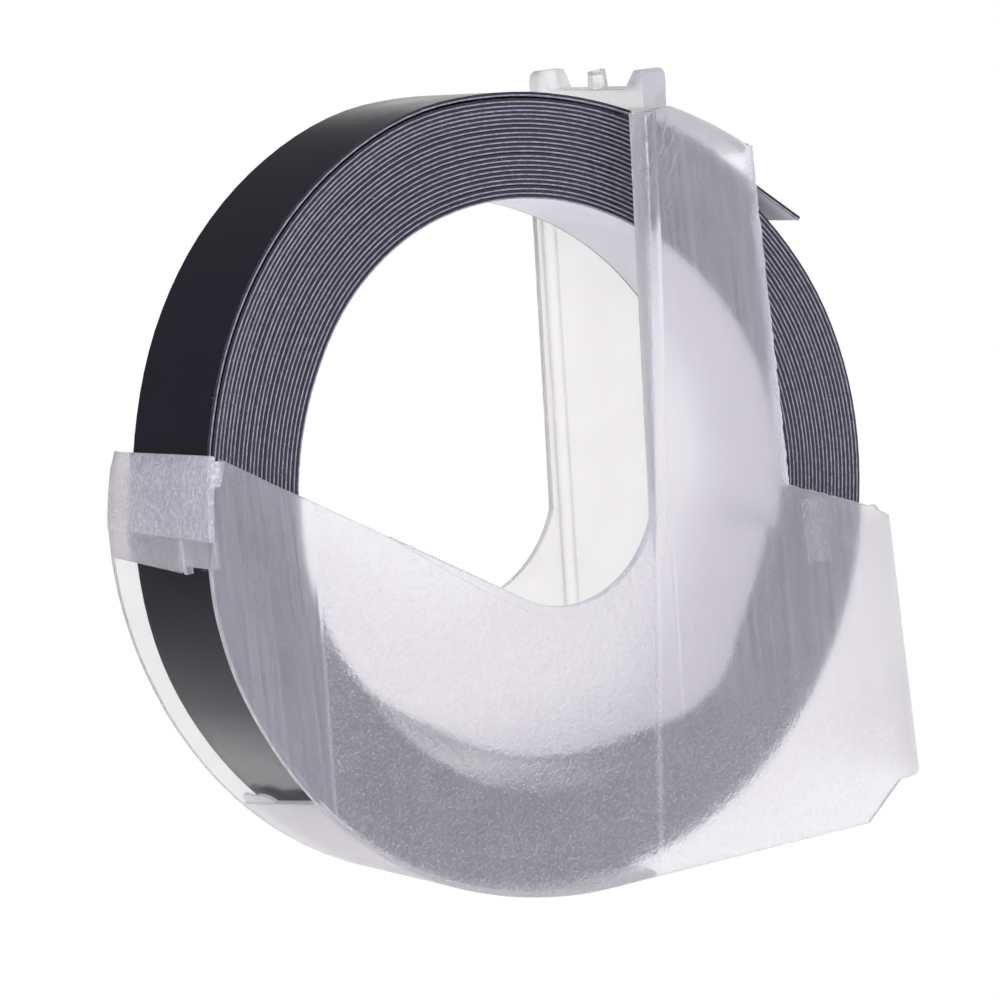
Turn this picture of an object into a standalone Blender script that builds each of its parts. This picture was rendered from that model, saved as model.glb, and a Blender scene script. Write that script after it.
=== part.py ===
"""Magazine of embossing tape: a translucent case in two moulded halves round a hubless coil of tape.

The case stands on its straight bottom edge. +X runs towards the spine, +Y along the coil's axis
from the cover to the tray, and +Z up. The origin is the bottom centre of the bounding box.
Outlines are drawn round the coil's axis, in metres, and placed by AXIS_X, AXIS_Y and AXIS_Z.
"""

import math

import bmesh
import bpy
from mathutils import Matrix, Vector

MM = 0.001
GAP = 0.3 * MM

# Tape: 9 mm wide, with its liner, wound into a coil that has no hub
TAPE_WIDTH = 9.0 * MM
TAPE_THICK = 0.3 * MM
COIL_R = 25.0 * MM
COIL_BORE_R = 18.3 * MM

# Case
RIM_R = 25.8 * MM
WALL = 0.5 * MM
PLATE = 0.7 * MM
COVER_Y = -6.5 * MM  # outer face of the cover's plate
TRAY_Y = 6.5 * MM  # outer face of the tray's plate
LATCH_TOP = 6.1 * MM
LATCH_TOP_X = -24.3 * MM
SHOULDER_SLOPE = math.radians(30.5)  # how far the free edge falls from the latch to the notch
COVER_NOTCH_R = 7.0 * MM
TRAY_NOTCH_R = 7.8 * MM

# Box at the lower right, with the spine that joins the halves
SPINE_X = 27.4 * MM  # outer face
CORNER_R = 2.8 * MM
CHAMFER_START_X = 21.4 * MM
SPINE_LOW = -22.8 * MM
SPINE_HIGH = -5.2 * MM
BOX_TOP = -4.8 * MM  # height of the box's top edge where the rounded corner starts

# Arms
ARM_BASE = -2.35 * MM
ARM_RIGHT_X = 17.55 * MM
ARM_LEAN = math.radians(4.5)
ARM_TOP_R = 31.5 * MM  # flatter than the rim, round a centre below the coil's axis
ARM_TOP_CENTRE = (-1.0 * MM, -6.0 * MM)
ARM_TOP_Z = 24.0 * MM  # height of the arms' upper left corners
COVER_ARM_X = 6.54 * MM  # left edge at the height of the coil's axis
TRAY_ARM_X = 7.7 * MM
RIB_FOOT = 0.4 * MM  # height of a rib's lower end over the arm's base
RIB_INSET = 0.05 * MM  # from the arm's left edge
RIB_WIDTH = 0.8 * MM
RIB_HEIGHT = 24.6 * MM
RIB_PROUD_TOP = 1.2 * MM
RIB_PROUD_BASE = 0.6 * MM
TRAY_RIB_WIDTH = 1.4 * MM
TRAY_RIB_INSET = 0.7 * MM
TRAY_RIB_PROUD = 0.6 * MM
TRAY_RIB_HEIGHT = 24.0 * MM

# Bridge across the two arms, with its locating lugs and moulding stub
BRIDGE_X = 9.3 * MM
BRIDGE_THICK = 1.75 * MM
BRIDGE_LOW = 23.5 * MM
BRIDGE_FLOOR = 24.5 * MM
LUG_TOP = 25.8 * MM
LUG_BASE = 1.8 * MM
LUG_SLOPE = 1.0 * MM  # how far a lug's inner side leans outwards
LUG_CORNER = (0.4 * MM, 0.6 * MM)  # width and height cut off a lug's outer top corner
STUB_WIDTH = 0.9 * MM
STUB_TAPER = 0.1 * MM

# Walls that close the case round the coil, as angles about the coil's axis
RIM_WALL_START = math.radians(224)
RIM_WALL_END_X = 4.1 * MM
TOP_WALL_X = (11.5 * MM, 17.3 * MM)
LATCH_STEP = 1.5 * MM
LATCH_LOW = -0.3 * MM
LATCH_RECESS = 0.2 * MM  # how far the lower band lies below the upper one
TONGUE_REACH = 3.3 * MM
SNAP_WIDTH = 0.6 * MM
SNAP_OVERLAP = 0.1 * MM

# Free ends of the tape
LEADER_ANGLE = math.radians(52.5)  # where the outer end leaves the coil
LEADER_START = 2.8 * MM
LEADER_TIP = 8.8 * MM
TAIL_ANGLES = (225, 250, 272, 288, 308, 343)
TAIL_RADII = (18.0, 17.3, 16.95, 17.2, 18.0, 17.5)

INNER_Y = TRAY_Y - PLATE - GAP  # walls stop this far from the middle, a gap short of each plate
RIB_FRONT = COVER_Y - RIB_PROUD_TOP
RIB_BACK = TRAY_Y + TRAY_RIB_PROUD
AXIS_X = (RIM_R - SPINE_X) / 2
AXIS_Y = -(RIB_FRONT + RIB_BACK) / 2
AXIS_Z = RIM_R
AXIS = Vector((AXIS_X, AXIS_Y, AXIS_Z))

# Each plane's matrix turns a flat curve so that its outline lies in that plane
PLANES = {
    "XZ": Matrix.Rotation(math.radians(90), 4, "X"),
    "XY": Matrix.Identity(4),
    "YZ": Matrix.Rotation(math.radians(90), 4, "Z") @ Matrix.Rotation(math.radians(90), 4, "X"),
}
NORMALS = {"XZ": Vector((0, 1, 0)), "XY": Vector((0, 0, 1)), "YZ": Vector((1, 0, 0))}


def clear_scene():
    for old in list(bpy.data.objects):
        bpy.data.objects.remove(old, do_unlink=True)


def new_collection(name):
    made = bpy.data.collections.new(name)
    bpy.context.scene.collection.children.link(made)
    return made


def new_material(name, colour, roughness, alpha=1.0):
    made = bpy.data.materials.new(name)
    made.use_nodes = True
    shader = made.node_tree.nodes["Principled BSDF"]
    shader.inputs["Base Color"].default_value = (*colour, 1)
    shader.inputs["Roughness"].default_value = roughness
    shader.inputs["Metallic"].default_value = 0.0
    shader.inputs["Alpha"].default_value = alpha
    return made


def arc(radius, start, end, centre=(0, 0), step=math.radians(5)):
    """Points on a circle from start to end, both included."""
    count = max(2, math.ceil(abs(end - start) / step))
    angles = [start + (end - start) * i / count for i in range(count + 1)]
    return [(centre[0] + radius * math.cos(a), centre[1] + radius * math.sin(a)) for a in angles]


def band(inner, outer, start, end, centre=(0, 0)):
    """Outline of a strip of a ring."""
    return arc(outer, start, end, centre) + arc(inner, end, start, centre)


def arm_top_angle(x):
    """Where the arms' round top is at this x, as an angle about its own centre."""
    return math.acos((x - ARM_TOP_CENTRE[0]) / ARM_TOP_R)


def extruded(name, outline, low, high, plane="XZ", turn=Matrix.Identity(4), foot=Vector((0, 0, 0))):
    """A closed mesh of the outline, from low to high along the plane's normal, turned about foot."""
    curve = bpy.data.curves.new(name, "CURVE")
    curve.dimensions = "2D"
    curve.fill_mode = "BOTH"
    curve.extrude = (high - low) / 2
    spline = curve.splines.new("POLY")
    spline.points.add(len(outline) - 1)
    for point, (u, v) in zip(spline.points, outline):
        point.co = (u, v, 0, 1)
    spline.use_cyclic_u = True
    flat = bpy.data.objects.new(name, curve)
    parts.objects.link(flat)
    offset = NORMALS[plane] * (low + high) / 2
    flat.matrix_world = (
        Matrix.Translation(AXIS + foot) @ turn @ Matrix.Translation(offset) @ PLANES[plane]
    )
    return as_mesh(flat)


def as_mesh(source):
    """The curve object made a mesh object with welded caps, under the same name."""
    bpy.context.view_layer.update()
    graph = bpy.context.evaluated_depsgraph_get()
    mesh = bpy.data.meshes.new_from_object(source.evaluated_get(graph))
    mesh.name = source.name
    work = bmesh.new()
    work.from_mesh(mesh)
    bmesh.ops.remove_doubles(work, verts=work.verts, dist=1e-6)
    bmesh.ops.recalc_face_normals(work, faces=work.faces)
    work.to_mesh(mesh)
    work.free()
    name, place = source.name, source.matrix_world.copy()
    bpy.data.objects.remove(source, do_unlink=True)
    made = bpy.data.objects.new(name, mesh)
    made.matrix_world = place
    parts.objects.link(made)
    return made


def join(body, other):
    """Unites other with body, and puts other among the cutters."""
    parts.objects.unlink(other)
    cutters.objects.link(other)
    other.hide_render = True
    other.display_type = "WIRE"
    union = body.modifiers.new(other.name, "BOOLEAN")
    union.operation = "UNION"
    union.object = other
    return body


def finish(piece, material, parent):
    piece.data.materials.clear()
    piece.data.materials.append(material)
    piece.data.shade_smooth()
    piece.data.set_sharp_from_angle(angle=math.radians(30))
    piece.parent = parent
    piece.matrix_parent_inverse = parent.matrix_world.inverted()


def pivot(name, place):
    made = bpy.data.objects.new(name, None)
    made.location = place
    parts.objects.link(made)
    bpy.context.view_layer.update()
    return made


def lower_plate_outline(notch_r):
    """The round left side, the box at the lower right, and the free edge with its notch."""
    right = SPINE_X - CORNER_R - GAP
    chamfer = right - CHAMFER_START_X
    box_slope = (ARM_BASE - BOX_TOP) / (right - ARM_RIGHT_X)
    notch_end = -math.pi / 2 - SHOULDER_SLOPE
    notch_start = math.asin((ARM_BASE - GAP / 2) / notch_r)
    return (
        [(LATCH_TOP_X, LATCH_TOP)]
        + arc(RIM_R, math.pi, math.pi * 3 / 2)
        + [(CHAMFER_START_X, -RIM_R), (right, -RIM_R + chamfer), (right, BOX_TOP)]
        + [(ARM_RIGHT_X, ARM_BASE - GAP / 2 - box_slope * GAP / 2)]
        + arc(notch_r, notch_start, notch_end)
    )


def arm_outline(left_x):
    """An arm from its base to the case's round top, with a leaning left edge and an upright right edge."""
    base = ARM_BASE + GAP / 2
    lean = math.tan(ARM_LEAN)
    top = arc(
        ARM_TOP_R,
        arm_top_angle(ARM_RIGHT_X),
        arm_top_angle(left_x + lean * ARM_TOP_Z),
        ARM_TOP_CENTRE,
    )
    return [(left_x + lean * base, base), (ARM_RIGHT_X, base)] + top


def leaning(left_x, height):
    """The point on an arm's left edge at a height, and the turn that leans a piece along that edge."""
    foot = Vector((left_x + math.tan(ARM_LEAN) * height, 0, height))
    return {"turn": Matrix.Rotation(ARM_LEAN, 4, "Y"), "foot": foot}


def cover_arm():
    plate = extruded("cover_arm", arm_outline(COVER_ARM_X), COVER_Y, COVER_Y + PLATE)
    rib_outline = [
        (COVER_Y + PLATE / 2, RIB_FOOT),
        (COVER_Y - RIB_PROUD_BASE, RIB_FOOT),
        (RIB_FRONT, RIB_HEIGHT),
        (COVER_Y + PLATE / 2, RIB_HEIGHT),
    ]
    foot = leaning(COVER_ARM_X, ARM_BASE + GAP / 2)
    return join(plate, extruded("cover_rib", rib_outline, RIB_INSET, RIB_WIDTH, "YZ", **foot))


def tray_arm():
    plate = extruded("tray_arm", arm_outline(TRAY_ARM_X), TRAY_Y - PLATE, TRAY_Y)
    rib_outline = [
        (TRAY_Y - PLATE / 2, RIB_FOOT),
        (RIB_BACK, RIB_FOOT),
        (RIB_BACK, TRAY_RIB_HEIGHT),
        (TRAY_Y - PLATE / 2, TRAY_RIB_HEIGHT),
    ]
    foot = leaning(TRAY_ARM_X, ARM_BASE + GAP / 2)
    rib = extruded(
        "tray_rib", rib_outline, TRAY_RIB_INSET, TRAY_RIB_INSET + TRAY_RIB_WIDTH, "YZ", **foot
    )
    return join(plate, rib)


def bridge():
    """The bar across the arms' tops: two lugs with sloping inner sides, and a tapered stub between."""
    half = INNER_Y
    rise = LUG_TOP - BRIDGE_LOW
    floor = BRIDGE_FLOOR - BRIDGE_LOW
    side = [
        (STUB_WIDTH / 2, floor),
        (STUB_WIDTH / 2 - STUB_TAPER, rise),
    ]
    lug = [
        (half - LUG_BASE, floor),
        (half - LUG_BASE + LUG_SLOPE, rise),
        (half - LUG_CORNER[0], rise),
        (half, rise - LUG_CORNER[1]),
        (half, 0),
    ]
    right = side[::-1] + lug
    left = [(-u, v) for u, v in right[::-1]]
    foot = leaning(BRIDGE_X - math.tan(ARM_LEAN) * BRIDGE_LOW, BRIDGE_LOW)
    return extruded("arm_bridge", left + right, 0, BRIDGE_THICK, "YZ", **foot)


def corner_outline(side, end_y):
    """Profile of a rounded corner, from its plate to end_y on the spine. side is -1 at the cover."""
    centre_x = SPINE_X - CORNER_R
    centre_y = side * (TRAY_Y - CORNER_R)
    quarter = [math.radians(90 * i / 6) for i in range(7)]
    outer = [
        (centre_x + CORNER_R * math.sin(a), centre_y + side * CORNER_R * math.cos(a)) for a in quarter
    ]
    inner_r = CORNER_R - WALL
    inner = [
        (centre_x + inner_r * math.sin(a), centre_y + side * inner_r * math.cos(a)) for a in quarter
    ]
    return outer + [(SPINE_X, end_y), (SPINE_X - WALL, end_y)] + inner[::-1]


def rim_wall():
    inner_r = RIM_R - WALL
    outline = (
        arc(RIM_R, RIM_WALL_START, math.pi * 3 / 2)
        + [(RIM_WALL_END_X, -RIM_R), (RIM_WALL_END_X, -inner_r)]
        + arc(inner_r, math.pi * 3 / 2, RIM_WALL_START)
    )
    return extruded("rim_wall", outline, -INNER_Y, INNER_Y)


def top_wall():
    low, high = (arm_top_angle(x) for x in TOP_WALL_X[::-1])
    outline = band(ARM_TOP_R - WALL, ARM_TOP_R, low, high, ARM_TOP_CENTRE)
    return extruded("top_wall", outline, -INNER_Y, INNER_Y)


def latch_strap():
    """A band round the left side from the tray: full width above, a thinner half width below."""
    inner_r = RIM_R - WALL
    top = math.pi - math.asin(LATCH_TOP / RIM_R)
    step = math.pi - math.asin(LATCH_STEP / RIM_R)
    low = math.pi - math.asin(LATCH_LOW / RIM_R)
    upper = extruded("latch_strap", band(inner_r, RIM_R, top, step), -INNER_Y, INNER_Y)
    overlap = math.radians(1)
    lower = extruded(
        "strap_foot",
        band(inner_r, RIM_R - LATCH_RECESS, step - overlap, low),
        TONGUE_REACH + GAP - INNER_Y,
        INNER_Y,
    )
    return join(upper, lower)


def latch_tongue():
    """The cover's tongue, below the strap, with the snap rib at its tip."""
    inner_r = RIM_R - WALL
    top = math.pi - math.asin((LATCH_STEP - GAP) / RIM_R)
    low = math.pi - math.asin(LATCH_LOW / RIM_R)
    tip = TONGUE_REACH - INNER_Y
    tongue = extruded(
        "latch_tongue", band(inner_r, RIM_R - LATCH_RECESS, top, low), -INNER_Y, tip
    )
    rib_low = low + math.radians(0.6)
    rib = band(inner_r + SNAP_OVERLAP, RIM_R, top, rib_low)
    tip_inset = SNAP_OVERLAP / 2
    return join(tongue, extruded("snap_rib", rib, tip - SNAP_WIDTH, tip - tip_inset))


def tape_coil():
    """A turned ring: the profile runs down its outer side and is screwed round the coil's axis."""
    half = TAPE_WIDTH / 2
    profile = [(COIL_BORE_R, half), (COIL_R, half), (COIL_R, -half), (COIL_BORE_R, -half)]
    mesh = bpy.data.meshes.new("tape_coil")
    work = bmesh.new()
    corners = [work.verts.new((x, 0, z)) for x, z in profile]
    for first, second in zip(corners, corners[1:] + corners[:1]):
        work.edges.new((first, second))
    work.to_mesh(mesh)
    work.free()
    coil = bpy.data.objects.new("tape_coil", mesh)
    parts.objects.link(coil)
    coil.matrix_world = Matrix.Translation(AXIS) @ Matrix.Rotation(math.radians(90), 4, "X")
    screw = coil.modifiers.new("turn", "SCREW")
    screw.axis = "Z"
    screw.steps = screw.render_steps = 72
    screw.use_merge_vertices = True
    screw.merge_threshold = 1e-6
    return coil


def tape_leader():
    """The outer end of the tape, straight along the tangent where it leaves the coil."""
    low, high = COIL_R + GAP, COIL_R + GAP + TAPE_THICK
    radial = Vector((math.cos(LEADER_ANGLE), math.sin(LEADER_ANGLE)))
    along = Vector((radial.y, -radial.x))
    corners = [
        radial * r + along * s
        for r, s in ((low, LEADER_START), (high, LEADER_START), (high, LEADER_TIP), (low, LEADER_TIP))
    ]
    return extruded("tape_leader", [tuple(c) for c in corners], -TAPE_WIDTH / 2, TAPE_WIDTH / 2)


def smooth_path(knots, values, count):
    """(knot, value) pairs on a Catmull-Rom curve through the values."""
    out = []
    for i in range(count + 1):
        t = i / count * (len(knots) - 1)
        k = min(int(t), len(knots) - 2)
        u = t - k
        a, b, c, d = (values[min(max(k + j, 0), len(values) - 1)] for j in (-1, 0, 1, 2))
        value = 0.5 * (2 * b + (c - a) * u + (2 * a - 5 * b + 4 * c - d) * u**2)
        value += 0.5 * (3 * b - a - 3 * c + d) * u**3
        out.append((knots[k] + (knots[k + 1] - knots[k]) * u, value))
    return out


def tape_tail():
    """The loose innermost turn, sprung away from the coil and touching it again at a kink."""
    path = smooth_path(TAIL_ANGLES, TAIL_RADII, 30)
    outer = [
        (r * MM * math.cos(math.radians(a)), r * MM * math.sin(math.radians(a))) for a, r in path
    ]
    thin = TAPE_THICK / MM
    inner = [
        ((r - thin) * MM * math.cos(math.radians(a)), (r - thin) * MM * math.sin(math.radians(a)))
        for a, r in path
    ]
    return extruded("tape_tail", outer + inner[::-1], -TAPE_WIDTH / 2, TAPE_WIDTH / 2)


def build():
    plastic = new_material("case_plastic", (0.86, 0.85, 0.88), 0.45, 0.5)
    vinyl = new_material("tape_vinyl", (0.02, 0.02, 0.024), 0.3)
    liner = new_material("tape_liner", (0.45, 0.46, 0.5), 0.5)

    case = pivot("case", Vector((0, 0, 0)))
    hinge_y = COVER_Y + CORNER_R
    hinge = pivot("cover_hinge", AXIS + Vector((SPINE_X, hinge_y, 0)))
    coil_axis = pivot("coil_spin", AXIS)
    leader_axis = pivot("leader_feed", AXIS)

    spine = extruded(
        "spine_wall", corner_outline(1, hinge_y + GAP / 2), SPINE_LOW, SPINE_HIGH, "XY"
    )
    corner = extruded(
        "cover_corner", corner_outline(-1, hinge_y - GAP / 2), SPINE_LOW, SPINE_HIGH, "XY"
    )
    tray = [
        extruded("tray_plate", lower_plate_outline(TRAY_NOTCH_R), TRAY_Y - PLATE, TRAY_Y),
        tray_arm(),
        rim_wall(),
        top_wall(),
        spine,
        bridge(),
        latch_strap(),
    ]
    cover = [
        extruded("cover_plate", lower_plate_outline(COVER_NOTCH_R), COVER_Y, COVER_Y + PLATE),
        cover_arm(),
        corner,
        latch_tongue(),
    ]
    for piece in tray:
        finish(piece, plastic, case)
    for piece in cover:
        finish(piece, plastic, hinge)
    finish(tape_coil(), vinyl, coil_axis)
    finish(tape_tail(), liner, coil_axis)
    finish(tape_leader(), vinyl, leader_axis)


clear_scene()
parts = new_collection("tape_magazine")
cutters = new_collection("cutters")
build()
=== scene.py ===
"""Looks for the embossing tape magazine: frosted one-piece case, wound tape, liner, leader and tail.

Shapes are drawn in millimetres round the coil's axis (x to the spine, y from the cover to the tray, z up)
and moved to the row frame in metres at the end.
"""

import math

import bmesh
import bpy
from mathutils import Matrix, Vector, noise


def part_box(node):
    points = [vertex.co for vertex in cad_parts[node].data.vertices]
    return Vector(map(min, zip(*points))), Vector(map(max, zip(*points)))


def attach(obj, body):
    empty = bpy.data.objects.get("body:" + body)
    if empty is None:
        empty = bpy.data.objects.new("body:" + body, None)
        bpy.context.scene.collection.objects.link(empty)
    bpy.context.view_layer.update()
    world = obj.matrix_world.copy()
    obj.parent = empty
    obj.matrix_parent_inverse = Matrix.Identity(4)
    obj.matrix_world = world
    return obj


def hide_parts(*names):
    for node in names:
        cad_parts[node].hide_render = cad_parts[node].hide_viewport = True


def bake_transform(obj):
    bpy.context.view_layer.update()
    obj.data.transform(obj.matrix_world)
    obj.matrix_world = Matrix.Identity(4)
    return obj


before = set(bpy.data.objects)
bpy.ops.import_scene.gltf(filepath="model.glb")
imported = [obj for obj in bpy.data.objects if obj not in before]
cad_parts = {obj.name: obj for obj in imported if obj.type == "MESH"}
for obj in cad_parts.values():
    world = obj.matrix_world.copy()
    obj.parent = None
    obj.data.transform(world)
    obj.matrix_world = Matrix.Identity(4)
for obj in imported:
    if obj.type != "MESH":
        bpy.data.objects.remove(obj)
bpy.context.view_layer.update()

MM = 0.001
coil_low, coil_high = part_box("tape_coil")
AXIS = (coil_low + coil_high) / 2
COIL_R = (coil_high.x - coil_low.x) / 2 / MM
HALF_TAPE = (coil_high.y - coil_low.y) / 2 / MM

# Case, all in millimetres
RIM_R = 25.8
PLATE = 0.55
WALL = 0.5
FLOOR_WALL = 0.36
FACE_Y = 6.5  # both plates' outer faces, either side of the middle
INNER_Y = FACE_Y - PLATE
SPINE_X = 27.4
CORNER_R = 2.8
BEND_X = SPINE_X - CORNER_R
BEND_LENGTH = CORNER_R * math.pi / 2
WEB = 0.6  # half the height of the strip that bends
SPINE_LOW, SPINE_HIGH = -23.4, -6.0
SPINE_LEAN = 0.42  # how far the spine's top stands in from its foot
ARM_RIGHT_X = 17.55
TOP_CENTRE, TOP_R = (-1.0, -6.0), 31.5
FREE_TOP = (-24.1, 6.1)
SHOULDER = 30.5  # fall of the free edge towards the notch, in degrees
NOTCH_R = (8.0, 7.1)  # the tray's and the cover's
NOTCH_RIGHT, NOTCH_LEFT = -22.0, -90 - SHOULDER  # angles where the notch ends
ARM_SLOPE = 0.0787  # lean of the cover's arm
CHAMFER_X = (21.4, 24.4)  # where the lower right corner's slant starts and ends
ROUND = 0.13  # radius of the moulding's outer edges
INNER_ROUND = 0.05

# Radius of each half's rim by angle
NEAR_RIM = (
    (180, 25.62), (186, 25.76), (196, 25.78), (206, 25.66), (220, 25.62), (240, 25.55),
    (250, 25.44), (260, 25.42), (270, 25.52),
)
FAR_RIM = (
    (180, 25.45), (188, 25.42), (200, 25.36), (212, 25.36), (225, 25.42), (245, 25.47),
    (260, 25.44), (270, 25.52),
)
# How far the cover's rib stands out, by height
RIB_PROUD = (
    (-5.6, -0.05), (-5.0, 0.08), (-4.2, 0.3), (-3, 0.5), (-1.5, 0.58), (1, 0.68), (5, 0.88),
    (10, 1.1), (15, 1.2), (20, 1.2), (22.86, 1.18),
)
FLAP_LEAN = ((1.3, 0.12), (3.2, 0.24), (5.0, 0.38), (6.1, 0.64))  # the flap's far end leans in, by height
BRIDGE_TILT, BRIDGE_SKEW = 0.028, 0.022  # the bridge's fall and shift per millimetre towards the cover
BRIDGE_LEAN = math.tan(math.radians(4.5))

# Marks on the cover: both ends and the width of each crease, and the slant of the rub marks in degrees
CREASES = (
    ((6.43, -5.6), (4.3, -25.8), 0.30),
    ((7.78, -5.0), (7.3, -15.3), 0.2),
    ((-18.45, -2.4), (-19.2, -16.9), 0.22),
)
RUB_SLANT = -33.5

# Tape
TAPE_PITCH_TURNS = 22
LINER_THICK = 0.09
VINYL_THICK = 0.165
THICK = LINER_THICK + VINYL_THICK
LEADER_ANGLE = 52.5  # where the leader leaves the coil in a straight line
LEADER_TIP = 8.8
SPLIT_ANGLE = 82.5 - 360 * TAPE_PITCH_TURNS  # where the coil's mesh ends and the leader's starts
END_ANGLE = LEADER_ANGLE - 360 * TAPE_PITCH_TURNS
STAND_OFF = 0.11  # gap under the last turn, from the leader back to the latch

# The loose inner end: radius by angle, clockwise
TAIL = (
    (343.3, 17.62), (333, 17.5), (321, 17.75), (314, 18.35), (307, 18.65), (297, 18.1),
    (287.5, 17.2), (276.5, 16.88), (264, 16.75), (255, 16.72), (245, 16.72), (234, 16.65),
    (226, 16.95), (218.5, 17.5), (211, 17.87), (202, 18.12),
)
# The wound tape is a little out of round: outer and inner radius of the coil by angle, clockwise
OUTER_SHAPE = (
    (360, 25.4), (335, 25.52), (308, 25.4), (280, 25.16), (262, 25.02), (240, 24.97), (218, 24.97),
    (197, 25.02), (178, 24.8), (163, 24.93), (148, 25.35), (133, 25.7), (118, 25.84), (105, 25.78),
    (92, 25.32), (80, 24.98), (60, 24.62), (40, 24.66), (20, 25.16), (0, 25.4),
)
INNER_SHAPE = (
    (360, 18.2), (345, 18.25), (330, 18.35), (318, 18.6), (307, 18.95), (296, 18.87), (284, 18.75),
    (272, 18.6), (260, 18.45), (248, 18.36), (236, 18.15), (224, 18.0), (212, 18.1), (190, 18.2),
    (170, 18.22), (150, 18.48), (132, 18.89), (115, 18.95), (100, 18.7), (84, 18.32), (64, 17.94),
    (40, 17.9), (20, 18.05), (0, 18.2),
)

# Picture
ROLL = 7.6  # degrees that the object leans by in the picture
CAMERA_AZIMUTH, CAMERA_ELEVATION = -33.84, 3.73
CAMERA_AWAY = 270  # from the point that it looks at
CAMERA_LOOKS_AT = (-0.51, 0, -0.745)
CAMERA_FOCUS = 4232.3 / 1000  # focal length over the picture's width
# Soft patches of the room that the glossy tape mirrors: direction, inner and outer angle, brightness added
ROOM_PATCHES = (
    ((-0.355, 0.829, 0.432), 35, 58, -0.87),
    ((-0.25, 0.829, -0.50), 5, 20, -0.36),
    ((-0.01, 0.829, -0.56), 2, 9, 0.6),
)
ROOM_FRONT = (-0.556, -0.829, 0.065)
ROOM_BACK_TINT, ROOM_FRONT_TINT = (1.0, 0.975, 0.985, 1), (0.98, 0.97, 1.22, 1)


# ---------------------------------------------------------------- meshes


def clamped(value):
    return min(max(value, 0), 1)


def curve_points(centre, radius, start, end, step=2.0):
    """Points on an arc, angles in degrees, both ends included."""
    count = max(2, math.ceil(abs(end - start) / step))
    out = []
    for i in range(count + 1):
        a = math.radians(start + (end - start) * i / count)
        out.append((centre[0] + radius * math.cos(a), centre[1] + radius * math.sin(a)))
    return out


def line_points(start, end, step, rough=0.0, seed=0.0):
    """Points from start up to but without end, moved across the line by up to rough."""
    length = math.dist(start, end)
    count = max(1, round(length / step))
    across = ((end[1] - start[1]) / length, -(end[0] - start[0]) / length)
    out = []
    for i in range(count):
        t = i / count
        shift = rough * noise.noise(Vector((i * 0.83, seed, 0.4))) * 2 if i else 0.0
        out.append(
            (
                start[0] + (end[0] - start[0]) * t + across[0] * shift,
                start[1] + (end[1] - start[1]) * t + across[1] * shift,
            )
        )
    return out


def prism(outline, low, high):
    """A closed bmesh of the outline in x and z, from y low to y high."""
    work = bmesh.new()
    near = [work.verts.new((u, low, v)) for u, v in outline]
    far = [work.verts.new((u, high, v)) for u, v in outline]
    work.faces.new(near)
    work.faces.new(far[::-1])
    for i in range(len(outline)):
        j = (i + 1) % len(outline)
        work.faces.new((near[j], near[i], far[i], far[j]))
    bmesh.ops.recalc_face_normals(work, faces=work.faces)
    return work


def round_edges(work, edges, radius=ROUND, segments=3):
    """Bevels the edges round, if there are any."""
    if edges:
        bmesh.ops.bevel(
            work,
            geom=edges,
            offset=radius,
            offset_type="OFFSET",
            segments=segments,
            profile=0.5,
            affect="EDGES",
            clamp_overlap=False,
        )


def sharp_edges(work, angle=40.0):
    limit = math.radians(angle)
    return [e for e in work.edges if e.is_manifold and e.calc_face_angle() > limit]


def skin(work, rows, flip=False):
    """Faces round a tube of equal rows of vertices and at both its ends."""
    count = len(rows[0])
    for a, b in zip(rows, rows[1:]):
        for i in range(count):
            j = (i + 1) % count
            work.faces.new((a[i], a[j], b[j], b[i]))
    work.faces.new(rows[0][::-1] if flip else rows[0])
    work.faces.new(rows[-1] if flip else rows[-1][::-1])
    bmesh.ops.recalc_face_normals(work, faces=work.faces)


def block(corners, radius=ROUND):
    """A six-sided solid from its 4 lower and 4 upper corners, with rounded edges."""
    work = bmesh.new()
    low = [work.verts.new(c) for c in corners[:4]]
    high = [work.verts.new(c) for c in corners[4:]]
    work.faces.new(low)
    work.faces.new(high[::-1])
    for i in range(4):
        j = (i + 1) % 4
        work.faces.new((low[j], low[i], high[i], high[j]))
    bmesh.ops.recalc_face_normals(work, faces=work.faces)
    round_edges(work, sharp_edges(work), radius, 2)
    return work


def to_object(name, work):
    mesh = bpy.data.meshes.new(name)
    work.to_mesh(mesh)
    work.free()
    made = bpy.data.objects.new(name, mesh)
    bpy.context.scene.collection.objects.link(made)
    return made


def united(name, body, others):
    """One object of body and the other meshes, joined by exact Booleans and open at body's seam."""
    base = to_object(name, body)
    for _ in range(2):
        base.data.materials.append(None)
    helpers = [to_object("helper", other) for other in others]
    for helper in helpers:
        join = base.modifiers.new("join", "BOOLEAN")
        join.operation = "UNION"
        join.solver = "EXACT"
        join.object = helper
    bpy.context.view_layer.update()
    graph = bpy.context.evaluated_depsgraph_get()
    mesh = bpy.data.meshes.new_from_object(base.evaluated_get(graph))
    mesh.name = name
    for helper in helpers:
        bpy.data.objects.remove(helper, do_unlink=True)
    base.modifiers.clear()
    base.data = mesh
    work = bmesh.new()
    work.from_mesh(mesh)
    seams = [f for f in work.faces if f.material_index == 1]
    bmesh.ops.delete(work, geom=seams, context="FACES")
    work.to_mesh(mesh)
    work.free()
    return base


def settle(piece, material, angle=35.0):
    """Puts a piece into the row frame with its material and smooth faces between sharp edges."""
    mesh = piece.data
    mesh.transform(Matrix.Translation(AXIS) @ Matrix.Scale(MM, 4))
    mesh.materials.clear()
    mesh.materials.append(material)
    for polygon in mesh.polygons:
        polygon.material_index = 0
    mesh.shade_smooth()
    mesh.set_sharp_from_angle(angle=math.radians(angle))
    weighted = piece.modifiers.new("normals", "WEIGHTED_NORMAL")
    weighted.keep_sharp = True
    weighted.weight = 80


# ---------------------------------------------------------------- case outlines


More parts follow.
